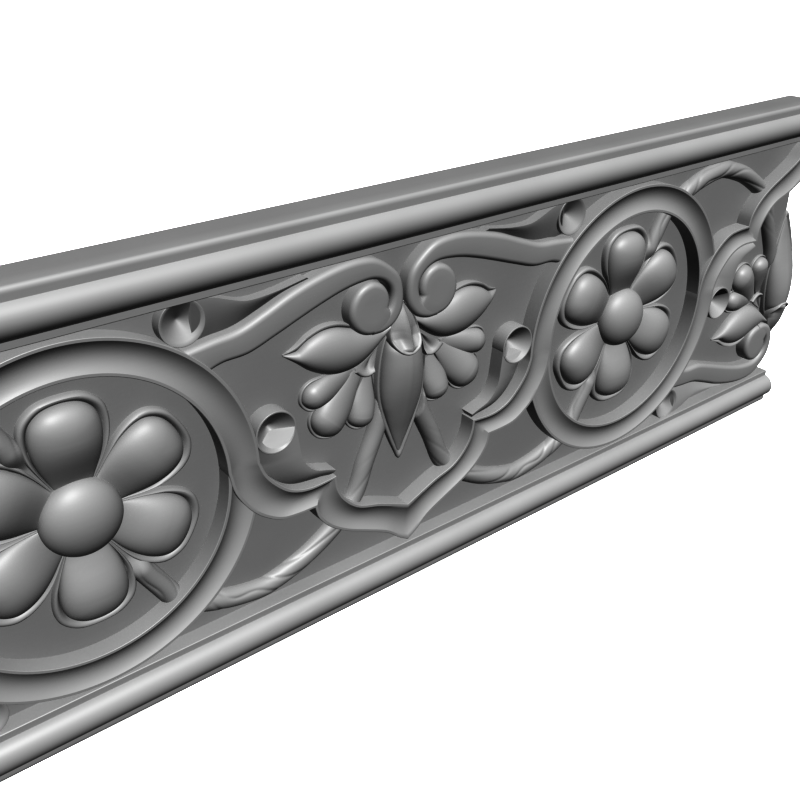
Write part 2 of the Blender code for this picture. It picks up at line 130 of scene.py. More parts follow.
def pillowed(outer, inner, rim, foot, ridge, belly=None, fade=1.0):
    # a swelling inside a rim, in the form's own plane of (along, aside): the rim's section is read
    # from the outer outline to the inner one, times the fade, and at the share q of the way out
    # from the ridge line the height is foot + (ridge - foot) * belly(q), with sqrt(1 - q squared)
    # where no belly is given
    foot = foot + 0 * outer[:, 0]
    share, lift = np.array(rim, float).T
    along, crest = smoothCurve(ridge, 80, evenly=False).T
    line = np.stack([np.clip(inner[:, 0], along[0], along[-1]), 0 * inner[:, 1]], axis=1)
    top = np.interp(line[:, 0], along, crest)
    a = np.linspace(0, math.pi / 2, 15)[1:]
    q, rise = (np.cos(a), np.sin(a)) if belly is None else np.array(belly, float).T
    plan = np.concatenate([outer[None], outer + share[:, None, None] * (inner - outer),
                           line + q[:, None, None] * (inner - line)])
    height = np.vstack([0 * foot - pattern["sink"], foot + lift[:, None] * fade,
                        foot + rise[:, None] * (top - foot)])
    return np.stack([plan[..., 0], height, plan[..., 1]], axis=-1)


def swung(grid, root, direction):
    # a form's own plane (along, height, aside) laid from its root in a direction in the pattern:
    # root + along * direction + aside * the direction turned a quarter round
    dx, dz = np.array(direction, float) / math.hypot(*direction)
    along, height, aside = grid[..., 0], grid[..., 1], grid[..., 2]
    return np.stack([root[0] + along * dx - aside * dz, height,
                     root[1] + along * dz + aside * dx], axis=-1)


def mirroredLoop(half, count):
    # one side of an outline from its root to its end, then back along the other side
    half = np.array(half, float)
    return smoothCurve(np.vstack([half, half[-2::-1] * (1, -1)]), count, evenly=False)


def eased(value, start, end):
    # 0 before start, 1 after end, and 3 t t - 2 t t t between them
    t = np.clip((value - start) / (end - start), 0, 1)
    return t * t * (3 - 2 * t)


def fourTimes(grid):
    # the same form in each quarter of the pattern
    return [placed(grid, side, turned) for side, turned in quarters]


def carvedPiece(name, grids, sharpAngle=None):
    # each grid is (rings, points round a ring, 3): quads between neighbouring rings, and a cap on
    # the first and the last ring; a ring that runs out and back along one line is merged instead
    corners, faces, start = [], [], 0
    for grid in grids:
        rings, around = grid.shape[:2]
        index = start + np.arange(rings * around).reshape(rings, around)
        beside = np.roll(index, -1, axis=1)
        quads = np.stack([index[:-1], beside[:-1], beside[1:], index[1:]], axis=-1)
        faces += quads.reshape(-1, 4).tolist() + [index[0, ::-1].tolist()]
        if not np.allclose(grid[-1], grid[-1, ::-1], atol=pattern["weld"] * mm):
            faces.append(index[-1].tolist())
        corners.append(grid.reshape(-1, 3))
        start += rings * around
    mesh = bpy.data.meshes.new(name)
    mesh.from_pydata(np.concatenate(corners), [], faces)
    bm = bmesh.new()
    bm.from_mesh(mesh)
    bmesh.ops.remove_doubles(bm, verts=bm.verts[:], dist=pattern["weld"] * mm)
    bmesh.ops.recalc_face_normals(bm, faces=bm.faces[:])
    bm.to_mesh(mesh)
    bm.free()
    mesh.shade_smooth()
    mesh.set_sharp_from_angle(angle=math.radians(sharpAngle or pattern["sharpAngle"]))
    piece = bpy.data.objects.new(name, mesh)
    bpy.context.scene.collection.objects.link(piece)
    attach(piece, "root")
    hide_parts("carved_moulding")
    return piece


# Board and rails

rail = {
    "halfHeight": 80.5,
    "ledge": (62.6, 6.3),            # where the ledge starts, and its height
    "bead": (71.1, 5.2, 5.96),       # its centre, the height of that centre, and the radius
    "fillet": (78.6, 7.6),           # where it ends, and its height
    "outerEdge": 6.2,                # height at the outer side, where the quarter round ends
    "easing": 0.25,                  # sandpaper has taken this much off the ledge's corner
}


def railProfile():
    # one rail from the ground outwards: a ledge with an eased corner, a round bead that rises from
    # it as base + radius * sin(turn), a flat fillet where it ends, and a quarter round
    start, ledgeHeight = rail["ledge"]
    middle, base, radius = rail["bead"]
    outer, filletHeight = rail["fillet"]
    ease = rail["easing"]
    turn = np.linspace(math.asin((ledgeHeight - base) / radius),
                       math.pi - math.asin((filletHeight - base) / radius), 40)
    bead = np.stack([base + radius * np.sin(turn), middle - radius * np.cos(turn)], axis=1)
    a = np.linspace(0, math.pi / 2, 14)
    edge = rail["outerEdge"]
    ovolo = np.stack([edge + (filletHeight - edge) * np.cos(a),
                      outer + (rail["halfHeight"] - outer) * np.sin(a)], axis=1)
    return np.vstack([[(0, start), (ledgeHeight - ease, start), (ledgeHeight, start + ease)],
                      bead, ovolo])


def buildBoard():
    # the outline of the board's end, in depth and height, carried straight along the length
    upper = railProfile()
    lower = upper[::-1] * (1, -1)
    end = np.vstack([[(-pattern["ground"], -rail["halfHeight"])], lower, upper,
                     [(-pattern["ground"], rail["halfHeight"])]])
    x = np.linspace(-1, 1, 41) * pattern["length"] / 2
    grid = np.stack([x[:, None] + 0 * end[None, :, 0], end[None, :, 0] + 0 * x[:, None],
                     end[None, :, 1] + 0 * x[:, None]], axis=-1)
    return carvedPiece("groundAndRails", [placed(grid)])


# Interlaced bands

band = {
    "height": 6.9,
    "hollow": 1.9,               # depth of the cove between the rims
    "ringX": 125.0,
    "outer": 61.3,
    "inner": 49.3,
    "rim": 0.09,                 # share of the width that each rim takes
    "rimMiddle": 0.05,           # and where the middle of its flat is
    "chamfer": (0.014, 0.16),    # off each outer corner: share of the width, and depth
    "dip": 0.35,                 # the end that passes below its neighbour lies this much lower
    "dipStations": 14,           # of the 81 stations round the ring
    "endGap": 0.02,              # the end strands stop this far inside the board's cut ends
    "underRadii": (49.3, 51.8, 57.8, 61.3),      # where it disappears: radius about the ring
    "underDegrees": (1.0, 8.8, 15.8, 18.2),      # and angle from the level
    "ogeeOuter": [(63.7, 0.0), (61.3, -6.0), (56.9, -11.6), (51.1, -16.2), (43.3, -18.2), (33.2, -17.6)],
    "ogeeInner": [(75.7, 0.0), (73.9, -8.5), (69.5, -16.3), (64.7, -21.6), (57.9, -26.0), (51.1, -27.2),
                  (42.9, -27.4)],
    "cuspOuter": [(33.2, -17.6), (32.7, -22.1), (30.8, -26.9), (26.9, -31.8), (22.0, -35.2),
                  (14.3, -37.6), (7.5, -40.5), (0.0, -43.9)],
    "cuspInner": [(42.9, -27.4), (41.4, -32.7), (36.6, -38.6), (29.8, -43.4), (20.1, -48.2),
                  (10.4, -53.1), (4.6, -57.9), (0.0, -60.9)],
}


def bandQuarter():
    # plan: an arc about the ring that eases into an ogee and turns a corner into the cusp;
    # section: two flat rims and, between them, height - hollow * (1 - t squared), t from -1 to 1
    middle, (corner, depth) = band["rimMiddle"], band["chamfer"]
    t = np.linspace(-1, 1, 19)
    cove = 0.5 + t * (0.5 - band["rim"])
    across = np.concatenate([[0, corner, middle], cove, [1 - middle, 1 - corner, 1]])
    row = band["height"] - np.concatenate([[depth, 0, 0], band["hollow"] * (1 - t ** 2), [0, 0, depth]])
    radii = band["outer"] + (band["inner"] - band["outer"]) * across
    start = np.radians(np.interp(radii, band["underRadii"], band["underDegrees"]))
    k = np.linspace(0, 1, 81)[:, None]
    turn = start * (1 - k) + math.pi * k
    plans = [np.stack([band["ringX"] + radii * np.cos(turn), radii * np.sin(turn)], axis=-1)]
    for outer, inner in (("ogeeOuter", "ogeeInner"), ("cuspOuter", "cuspInner")):
        plans.append(between(smoothCurve(band[outer], 29)[1:], smoothCurve(band[inner], 29)[1:], across))
    plan = np.concatenate(plans)
    fall = band["dip"] * np.clip(1 - np.arange(len(plan)) / band["dipStations"], 0, 1) ** 2
    return rooted(raised(plan, row[None] - fall[:, None]))


def buildBands():
    # two mirrored quarters meet in the middle cusp, and the turned ones run to the cut ends
    quarter = bandQuarter()
    middle = np.concatenate([placed(quarter, -1), placed(quarter, 1)[-2::-1]])
    quarter[-1, :, 0] += band["endGap"]
    ends = [placed(quarter, side, True) for side in (1, -1)]
    return carvedPiece("interlacedBands", [middle] + ends)


# Scrolls with their volutes

scroll = {
    "height": 6.2,
    "shoulder": 2.1,
    "upper": [(86.4, 46.8), (76.3, 48.1), (66.6, 49.1), (56.9, 52.5), (47.2, 56.4), (37.5, 59.3),
              (27.9, 61.2), (20.1, 61.7), (13.3, 60.7), (7.5, 57.3), (2.7, 52.5), (0.9, 46.7),
              (1.3, 39.9), (4.6, 34.9), (9.6, 32.5), (14.4, 32.3)],
    "lower": [(77.8, 38.0), (72.5, 39.3), (63.5, 39.8), (53.0, 43.2), (44.0, 46.4), (35.5, 49.3),
              (27.2, 51.7), (20.0, 52.9), (14.5, 53.0), (10.2, 51.5), (7.2, 48.6), (6.2, 45.0),
              (7.2, 41.0), (9.6, 38.9), (12.4, 38.2), (15.0, 38.6)],
    "eye": (14.3, 42.3),
    "eyeRaise": 0.03,            # the eye stands this much above the strand that curls round it
    "eyeRings": (0.6, 0.25, 0.02),       # rings that close its top, as shares of its size
    "grooveDegrees": (40.0, 55.0, 90.0, 115.0, 156.0, 186.0, 194.0, 202.0, 212.0, 225.0),
    "grooveRadii": (9.7, 9.8, 9.9, 9.3, 7.8, 6.9, 7.6, 8.6, 9.4, 9.7),
}


def buildScrolls():
    # a strip with rounded shoulders between two edges, and the eye of the volute: a disc with the
    # same shoulder, inset r(1 - cos a) and r(1 - sin a) lower, cut back where the groove curls in
    upper = smoothCurve(scroll["upper"], 150, evenly=False)
    lower = smoothCurve(scroll["lower"], 150, evenly=False)
    shoulder = scroll["shoulder"]
    across, heights = shoulders(np.linalg.norm(upper - lower, axis=1), shoulder, scroll["height"])
    strand = rooted(raised(between(upper, lower, across), heights))
    top = scroll["height"] + scroll["eyeRaise"]
    a = np.linspace(0, math.pi / 2, 7)
    edge = np.stack([shoulder * (1 - np.cos(a)), top - shoulder * (1 - np.sin(a))], axis=1)
    profile = np.vstack([[(0, -pattern["sink"])], edge])

    def radius(turn):
        return np.interp(np.degrees(turn), scroll["grooveDegrees"], scroll["grooveRadii"])

    disc = turnedForm(scroll["eye"], profile, radius, 96)
    middle = np.array([scroll["eye"][0], top, scroll["eye"][1]])
    inward = [middle + (disc[-1] - middle) * share for share in scroll["eyeRings"]]
    return carvedPiece("scrolls", fourTimes(strand) + fourTimes(np.concatenate([disc, inward])))


# Drilled eyes and the tails that run from them

eyes = {
    "high": (84.6, 55.8, 7.7, 4.5),      # x, z, radius, height
    "low": (56.4, 8.7, 8.0, 6.5),
    "rim": 0.55,
    "chamfer": 0.12,
    "pit": (0.5, 0.35),                  # radius and height of the bottom of the countersink
}
tails = {
    "highFree": [(81.0, 62.6), (74.3, 61.7), (68.5, 59.4), (61.8, 57.4), (52.1, 57.8), (40.0, 59.8)],
    "highBuried": [(83.0, 48.2), (76.3, 47.2), (66.6, 48.2), (58.0, 51.2), (48.0, 55.2), (38.0, 58.3)],
    "highArc": (118.0, 246.0),           # the part of the eye's wall that the tail starts from
    "highDrop": 3.6,
    "lowFree": [(48.3, 9.0), (47.6, 1.2), (46.8, -4.6), (44.8, -9.0), (41.4, -12.2), (36.6, -13.9),
                (33.0, -15.2)],
    "lowBuried": [(64.8, 6.0), (63.6, -2.0), (60.6, -8.6), (56.0, -14.0), (50.0, -17.6), (42.0, -18.9),
                  (35.0, -18.6)],
    "lowArc": (180.0, 336.0),
    "lowDrop": 5.4,
    "steepest": 0.9,                     # the drop is at most this share of the width
    "dropAtEye": 0.35,                   # and this share of itself where the tail leaves the eye
    "dropGrows": (0.25, 0.7),            # share of the length in which it grows, and to what power
    "hollowing": 1.7,                    # the section falls as the way across to this power
    "inWall": 0.3,                       # how deep the tail starts in the eye's wall
    "leavesWall": (0.3, 1.5),            # share of the length in which it leaves, and to what power
}


def buildEyesAndTails():
    # an eye is a turned stud with a cone sunk into it; a tail runs from a part of the eye's wall with
    # its crest along the free edge, and lies drop * (across to the power of the hollowing) lower
    rim, chamfer, (pitRadius, pitHeight) = eyes["rim"], eyes["chamfer"], eyes["pit"]
    atEye, (grown, growth), (left, leaving) = tails["dropAtEye"], tails["dropGrows"], tails["leavesWall"]
    slope = np.linspace(0, 1, 9)[:, None]
    across = np.linspace(0, 1, 17)[None]
    along = np.linspace(0, 1, 60)[:, None]
    grids = []
    for name in ("high", "low"):
        x, z, radius, height = eyes[name]
        cone = np.array([(radius - rim, height)]) * (1 - slope) + np.array([(pitRadius, pitHeight)]) * slope
        profile = np.vstack([[(radius, -pattern["sink"]), (radius, height - chamfer),
                              (radius - chamfer, height)], cone, [(chamfer, pitHeight - chamfer)]])
        grids += fourTimes(turnedForm((x, z), profile))
        free = smoothCurve(tails[name + "Free"], 60, evenly=False)
        buried = smoothCurve(tails[name + "Buried"], 60, evenly=False)
        width = np.linalg.norm(free - buried, axis=1)[:, None]
        drop = np.minimum(tails[name + "Drop"], tails["steepest"] * width)
        drop = drop * (atEye + (1 - atEye) * np.clip(along / grown, 0, 1) ** growth)
        heights = height - chamfer - drop * across ** tails["hollowing"]
        a = np.radians(np.linspace(*tails[name + "Arc"], 17))
        wallRadius = radius - tails["inWall"]
        wall = np.stack([x + wallRadius * np.cos(a), z + wallRadius * np.sin(a)], axis=1)
        ease = np.clip(1 - along / left, 0, 1)[..., None] ** leaving
        plan = between(free, buried, across) * (1 - ease) + wall[None] * ease
        grids += fourTimes(rooted(raised(plan, heights)))
    return carvedPiece("eyesAndTails", grids)


# Stems

stem = {
    "radius": 4.0,
    "height": 4.0,
    "lift": 0.25,                # its widest line stands this far above the ground
    "low": [(6.2, 5.0), (8.5, -1.0), (11.4, -9.5), (16.2, -20.1), (21.6, -33.2), (30.0, -42.3),
            (42.4, -50.2), (53.0, -54.3), (63.7, -56.7), (76.3, -55.0), (88.5, -51.0), (94.5, -47.5)],
    "flowerCentre": (123.9, 1.4),
    "lean": 60.0,
    "reach": 52.0,
    "underPetals": (1.1, 24.5, 33.0),    # its height there, and where it climbs out, from the hub
    "besideBud": (2.0, 3.2),             # height against the bud's margin, and rise per mm from it
    "strands": 4,                # long shallow furrows wind round the bark
    "twist": 76.0,               # millimetres along the stem for one full turn
    "unevenness": 0.5,           # how far a furrow wanders, in radians
    "waves": (6.1, 1.7, 17.0),   # w, k and v in sin(s / w + k sin(s / v)), the way it wanders
    "grooveDepth": 0.12,
    "lowFurrows": (0.12, 0.45),  # they deepen between these shares of a low stem's length
    "flowerFurrows": (0.45, 0.75),       # and between these of a flower stem's way out from the hub
    "sharpAngle": 60.0,
}


def barkRod(points, count, furrows):
    # a half-round rod: at the angle a round it and the distance s along it the height is that of
    # the round, sin(a), times 1 - depth * g, and the half width cos(a) times 1 - depth * g / 2; g is
    # 1 - |sin(strands / 2 * (a + 2 pi s / twist + wander(s)))| to the third power, which cuts narrow
    # winding furrows, and furrows is the share of the depth at each station
    middle = smoothCurve(points, count)
    along = np.gradient(middle, axis=0)
    run = np.concatenate([[0], np.cumsum(np.linalg.norm(np.diff(middle, axis=0), axis=1))])
    along /= np.linalg.norm(along, axis=1, keepdims=True)
    out = np.stack([-along[:, 1], along[:, 0]], axis=1)
    a = np.linspace(0, math.pi, 33)[None]
    w, k, v = stem["waves"]
    wander = stem["unevenness"] * np.sin(run / w + k * np.sin(run / v))[:, None]
    phase = stem["strands"] / 2 * (a + 2 * math.pi * run[:, None] / stem["twist"] + wander)
    groove = (1 - np.abs(np.sin(phase))) ** 3 * stem["grooveDepth"] * furrows[:, None]
    plan = middle[:, None] + out[:, None] * (np.cos(a) * stem["radius"] * (1 - 0.5 * groove))[..., None]
    return rooted(raised(plan, np.sin(a) * stem["height"] * (1 - groove) + stem["lift"]))


def buildStems():
    # a low stem is cut down beside the bud, to start + rise * its distance from the bud's margin at
    # most; a flower stem is a straight rod that lies low under the petals and then climbs out
    low = barkRod(stem["low"], 170, eased(np.linspace(0, 1, 170), *stem["lowFurrows"]))
    z, halfWidth = np.array(bud["outer"][::-1]).T
    start, rise = stem["besideBud"]
    margin = np.interp(low[..., 2], z, halfWidth, left=-9, right=0)      # none below the bud's tip
    limit = np.maximum(start + rise * (low[..., 0] - margin), -1)
    low[:, 1:-1, 1] = np.minimum(low[:, 1:-1, 1], limit[:, 1:-1])
    (x, z), reach = stem["flowerCentre"], stem["reach"]
    lean = math.radians(stem["lean"])
    dx, dz = reach * math.cos(lean), reach * math.sin(lean)
    s = np.abs(np.linspace(-1, 1, 120))
    rod = barkRod([(x - dx, z - dz), (x, z), (x + dx, z + dz)], 120, eased(s, *stem["flowerFurrows"]))
    least, leaves, full = stem["underPetals"]
    climb = least / stem["height"] + (1 - least / stem["height"]) * eased(s * reach, leaves, full)
    rod[:, 1:-1, 1] *= climb[:, None]
    flowerStems = [placed(rod, side) for side in (1, -1)]
    return carvedPiece("stems", fourTimes(low) + flowerStems, stem["sharpAngle"])


# Flowers

flower = {
    "petals": 6,
    "outer": [(3.0, 2.6), (9.0, 5.2), (12.5, 7.0), (19.0, 10.5), (24.5, 12.9), (30.5, 13.8), (35.4, 12.9),
              (38.8, 10.1), (40.9, 6.1), (41.5, 0.0)],        # distance from the hub, half width
    "inner": [(3.0, 2.5), (9.0, 4.9), (12.7, 6.6), (18.9, 9.4), (24.4, 10.9), (29.6, 11.2), (33.8, 10.2),
              (36.6, 7.9), (38.3, 4.6), (38.9, 0.0)],
    "fullness": 2.1,             # 2 is an ellipse across the petal, more has steeper sides
    "ridge": [(7.0, 1.1), (9.0, 1.3), (13.0, 2.4), (17.0, 4.1), (21.0, 5.8), (24.4, 6.9), (27.2, 7.4),
              (29.4, 7.5)],
    "groove": 1.0,
    "rim": [(0.0, 0.2), (0.06, 0.9), (0.15, 1.4), (0.3, 1.7), (0.45, 1.7), (0.6, 1.5), (0.75, 1.1),
            (0.88, 0.6), (1.0, 0.0)],                         # share of the way in, rise above the groove
    "rimFades": (9.0, 23.0),     # the lip dies away between these distances from the hub
    "hubRadius": 13.2,
    "hubBase": 2.0,
    "hubRise": 7.8,
}


def petalGrid():
    # the pillow: at q = cos(a) to the power 2 / n of the way out it has risen sin(a) to that power
    outer = mirroredLoop(flower["outer"], 127)
    inner = mirroredLoop(flower["inner"], 127)
    a = np.linspace(0, math.pi / 2, 18)[1:]
    power = 2 / flower["fullness"]
    belly = np.stack([np.clip(np.cos(a), 0, 1) ** power, np.sin(a) ** power], axis=1)
    return pillowed(outer, inner, flower["rim"], flower["groove"], flower["ridge"], belly,
                    fade=eased(outer[:, 0], *flower["rimFades"]))


def buildFlowers():
    # petals at equal angles about the hub, which is half an ellipse turned about its axis
    petal = petalGrid()
    x, z = stem["flowerCentre"]
    grids = []
    for k in range(flower["petals"]):
        a = math.radians(90 + 360 / flower["petals"] * k)
        turned = swung(petal, (x, z), (math.cos(a), math.sin(a)))
        grids += [placed(turned, side) for side in (1, -1)]
    a = np.linspace(0, math.pi / 2, 26)[:-1]
    radius = flower["hubRadius"]
    dome = np.stack([radius * np.cos(a), flower["hubBase"] + flower["hubRise"] * np.sin(a)], axis=1)
    hub = turnedForm((x, z), np.vstack([[(radius, -pattern["sink"])], dome]))
    grids += [placed(hub, side) for side in (1, -1)]
    return carvedPiece("flowers", grids)


# Leaves beside the volutes

leaf = {
    "upper": [(48.6, 33.1), (44.3, 35.0), (39.5, 38.1), (33.7, 40.0), (27.9, 39.8), (21.0, 37.6),
              (12.0, 35.5), (5.0, 34.5)],
    "lower": [(48.6, 32.5), (44.0, 28.9), (38.5, 24.3), (31.7, 20.9), (24.9, 20.0), (18.2, 21.4),
              (11.8, 25.6), (4.2, 32.5)],
    "crown": 6.1,
    "tipHeight": 0.45,
    "lowerEdge": 0.3,            # height of the belly's lower edge
    "swell": (1.1, 0.75, 0.9),   # l, p and the end in sin(pi * along / l) to the power p
    "rim": 1.1,
    "rimShare": 0.16,            # the rim takes at most this share of the leaf's width
    "rimHeight": 2.7,
    "rimPlaces": (0.0, 0.1, 0.5, 0.95, 1.3, 1.75),       # where rim and groove are read, in rim widths
    "rimFalls": (0.3, 0.05, 0.2),        # rounding of its outer edge, next to that, and its inner edge
    "grooveDepth": 1.5,
    "sharpAngle": 50.0,
}


def buildLeaves():
    # section: a narrow rim, a groove as wide, then a belly that is half an ellipse; all of them grow
    # from the tip with the swell
    upper = smoothCurve(leaf["upper"], 100, evenly=False)
    lower = smoothCurve(leaf["lower"], 100, evenly=False)
    width = np.linalg.norm(upper - lower, axis=1)[:, None]
    length, power, end = leaf["swell"]
    swell = np.sin(np.pi * np.clip(np.linspace(0, 1, 100)[:, None], 0, end) / length) ** power
    rim = np.minimum(leaf["rim"], leaf["rimShare"] * width)
    rimTop = leaf["tipHeight"] + leaf["rimHeight"] * swell
    low = rimTop - leaf["grooveDepth"] * swell
    a = np.linspace(0, math.pi, 36)[None]
    b = (1 - np.cos(a)) / 2
    side = low * (1 - b) + leaf["lowerEdge"] * b
    belly = side + (leaf["tipHeight"] + leaf["crown"] * swell - side) * np.sin(a)
    places = np.array(leaf["rimPlaces"]) * rim / width
    start = places[:, -1:]
    across = np.hstack([places[:, :-1], start + (1 - start) * b])
    outside, beside, inside = leaf["rimFalls"]
    heights = np.hstack([rimTop - outside * swell, rimTop - beside, rimTop, rimTop - inside * swell,
                         (rimTop + low) / 2 - inside * swell, belly])
    grid = rooted(raised(between(upper, lower, across), heights))
    return carvedPiece("leaves", fourTimes(grid), leaf["sharpAngle"])


# Lobes in a fan, with the cuff that gathers them

lobes = {
    "fan": [((19.6, 18.4), (37.5, 14.3), 6.0, 5.1), ((17.4, 18.6), (31.9, 3.5), 8.2, 6.0),
            ((13.9, 16.4), (17.9, 0.8), 6.6, 5.2)],       # root, middle of the round end, its radius, crown
    "halfShape": [(0.0, 0.2), (0.1, 0.34), (0.2, 0.46), (0.4, 0.72), (0.6, 0.94), (0.74, 1.02), (0.87, 0.88),
                  (0.96, 0.52), (1.0, 0.0)],              # share of length, share of half width
    "ridge": [(0.08, 0.2), (0.2, 0.36), (0.35, 0.56), (0.5, 0.76), (0.64, 0.93), (0.74, 1.0)],
    "margin": 1.05,              # a thin plate shows round the outer ends only
    "marginFrom": (0.45, 0.75),
    "foot": 0.8,
    "rim": [(0.0, 0.1), (0.14, 0.4), (0.35, 0.55), (0.65, 0.5), (0.9, 0.2), (1.0, 0.0)],
    "sharpAngle": 50.0,
}
cuff = {
    "peak": (10.3, 25.2),        # the deep end, between leaf and bud
    "lip": [(20.4, 18.3), (18.0, 16.1), (15.2, 15.1), (12.2, 15.8)],
    "height": 1.4,
    "climb": 0.3,                # from the peak to the lip
    "lipHeight": 2.6,
    "hollow": 1.1,
    "valley": (0.55, 0.2, 0.84),         # its place and width along the lip, and how far out it runs
    "stations": (0.03, 0.12, 0.22, 0.34, 0.46, 0.58, 0.7, 0.78, 0.84, 0.89, 0.93, 0.97, 0.99, 1.0, 1.0),
    "roll": [(0.74, 0.0), (0.84, 0.55), (0.9, 0.95), (0.95, 1.0), (0.98, 0.75), (1.0, 0.1)],
}


def lobeGrid(root, middle, radius, crown):
    # a pillow laid from its root towards the middle of its round end; the inner outline is inset by
    # a margin that grows towards the outer end
    size = math.dist(root, middle) + radius
    outer = mirroredLoop(np.array(lobes["halfShape"]) * (size, radius), 99)
    inner = insetBy(outer, lobes["margin"] * eased(outer[:, 0] / size, *lobes["marginFrom"]))
    ridge = np.array(lobes["ridge"]) * (size, crown)
    grid = pillowed(outer, inner, lobes["rim"], lobes["foot"], ridge)
    return swung(grid, root, np.subtract(middle, root))


def cuffGrid():
    # a small cup: u runs from its peak to the lip and v along the lip; the height climbs with u to
    # a rolled edge, less a valley exp(-((v - place) / width) squared) * sin(pi * u / end)
    lip = smoothCurve(cuff["lip"], 25)
    u = np.array(cuff["stations"])[:, None]
    v = np.linspace(0, 1, 25)[None]
    plan = np.array(cuff["peak"]) * (1 - u[..., None]) + lip[None] * u[..., None]
    place, width, end = cuff["valley"]
    valley = (cuff["hollow"] * np.exp(-((v - place) / width) ** 2)
              * np.sin(math.pi * np.clip(u / end, 0, 1)))
    roll = np.interp(u, *np.array(cuff["roll"]).T)
    height = cuff["height"] + cuff["climb"] * u - valley + (cuff["lipHeight"] - cuff["height"]) * roll
    grid = rooted(raised(plan, height))
    grid[-1, :, 1] = -pattern["sink"]        # the last station is the foot of the outer wall
    return grid


def buildLobes():
    # in each quarter, three lobes in a fan and the cuff over their roots
    grids = fourTimes(cuffGrid())
    for lobe in lobes["fan"]:
        grids += fourTimes(lobeGrid(*lobe))
    return carvedPiece("lobesAndCuffs", grids, lobes["sharpAngle"])


# Buds with their caps

bud = {
    "outer": [(33.0, 4.0), (30.6, 6.0), (27.0, 7.9), (21.6, 9.5), (15.0, 10.6), (8.0, 11.0), (1.6, 10.4),
              (-5.4, 8.6), (-12.7, 6.0), (-20.4, 2.8), (-25.5, 0.0)],      # z on the axis, half width
    "inner": [(32.5, 3.2), (30.2, 5.0), (26.6, 6.8), (21.3, 8.3), (14.8, 9.3), (7.7, 9.6), (1.4, 8.9),
              (-5.0, 7.0), (-11.4, 4.7), (-17.6, 2.2), (-22.0, 0.0)],
    "ridge": [(-21.6, 1.0), (-18.0, 1.7), (-12.0, 3.0), (-5.4, 4.8), (0.0, 6.2), (5.0, 7.4), (10.0, 8.3),
              (15.0, 8.8), (19.4, 8.8), (23.6, 8.3), (25.4, 6.6), (27.4, 4.6)],
    "rim": [(0.0, 0.0), (0.12, 0.35), (0.35, 0.6), (0.6, 0.5), (0.85, 0.15), (1.0, 0.0)],
    "foot": [(-25.5, 0.7), (-14.0, 1.5), (0.0, 2.2), (33.0, 2.2)],         # z, and the belly's foot
    "keel": (0.03, 0.16),        # a soft edge down its middle: share of the height, and of the way out
    "underside": 2.3,            # the end buds overhang the cut ends and are flat underneath
    "sharpAngle": 50.0,
}
budCap = {
    "outer": [(41.4, 0.5), (39.4, 2.0), (36.8, 3.9), (34.2, 5.3), (30.8, 6.5), (27.8, 6.7), (25.4, 6.0),
              (23.5, 4.4), (22.2, 2.3), (21.8, 0.0)],
    "inner": [(41.0, 0.3), (39.1, 1.4), (36.6, 3.2), (34.0, 4.5), (30.8, 5.6), (28.0, 5.8), (26.0, 5.0),
              (24.5, 3.6), (23.5, 1.8), (23.2, 0.0)],
    "foot": [(21.8, 9.0), (23.5, 8.7), (25.4, 7.3), (27.8, 5.4), (30.8, 4.4), (34.2, 4.2), (41.4, 3.4)],
    "rim": [(0.0, -0.7), (0.12, 0.0), (0.3, 0.35), (0.55, 0.45), (0.8, 0.25), (1.0, 0.0)],
    "ridge": [(23.3, 9.7), (25.0, 9.8), (28.0, 9.1), (32.4, 7.8), (35.8, 6.3), (39.0, 4.5), (40.9, 3.7)],
    "roof": [(0.9, 0.06), (0.75, 0.17), (0.6, 0.3), (0.45, 0.44), (0.3, 0.6), (0.2, 0.72), (0.12, 0.82),
             (0.05, 0.94), (0.0, 1.04)],
    "dimple": (2.6, 27.2, 1.6, 3.2, 1.2),        # aside, along, its two sizes, and the depth
}


def pillowAlong(form, count, belly):
    # a pillow from a form's own tables, whose foot is read along it between the table's heights
    outer = mirroredLoop(form["outer"], count)
    inner = mirroredLoop(form["inner"], count)
    foot = np.interp(outer[:, 0], *np.array(form["foot"]).T)
    return pillowed(outer, inner, form["rim"], foot, form["ridge"], belly)


def budGrid():
    # the belly rises as sin(a) at q = cos(a) of the way out, and by the keel * (1 - q / its width)
    a = np.linspace(0, math.pi / 2, 17)[1:]
    q, rise = np.cos(a), np.sin(a)
    keel, width = bud["keel"]
    belly = np.stack([q, rise + keel * np.clip(1 - q / width, 0, 1)], axis=1)
    return swung(pillowAlong(bud, 161, belly), (0, 0), (0, 1))


def capGrid():
    # a keeled roof, less depth * exp(-((aside - a) / sizeA) squared - ((along - b) / sizeB) squared)
    grid = pillowAlong(budCap, 127, budCap["roof"])
    a, b, sizeA, sizeB, depth = budCap["dimple"]
    dip = np.exp(-((np.abs(grid[1:, :, 2]) - a) / sizeA) ** 2 - ((grid[1:, :, 0] - b) / sizeB) ** 2)
    grid[1:, :, 1] -= depth * dip
    return swung(grid, (0, 0), (0, 1))


def buildBuds():
    # one in the middle and one over each cut end, each with its cap
    grids = []
    for grid in (budGrid(), capGrid()):
        grid[0, :, 1] = -bud["underside"]
        grids += [placed(grid)] + [placed(grid, side, True) for side in (1, -1)]
    return carvedPiece("buds", grids, bud["sharpAngle"])


# Material

def linear(hexCode):
    # sRGB hex to linear: v / 12.92 up to 0.04045, and ((v + 0.055) / 1.055) ** 2.4 above it
    values = [int(hexCode[i:i + 2], 16) / 255 for i in (1, 3, 5)]
    return tuple(v / 12.92 if v <= 0.04045 else ((v + 0.055) / 1.055) ** 2.4 for v in values) + (1.0,)


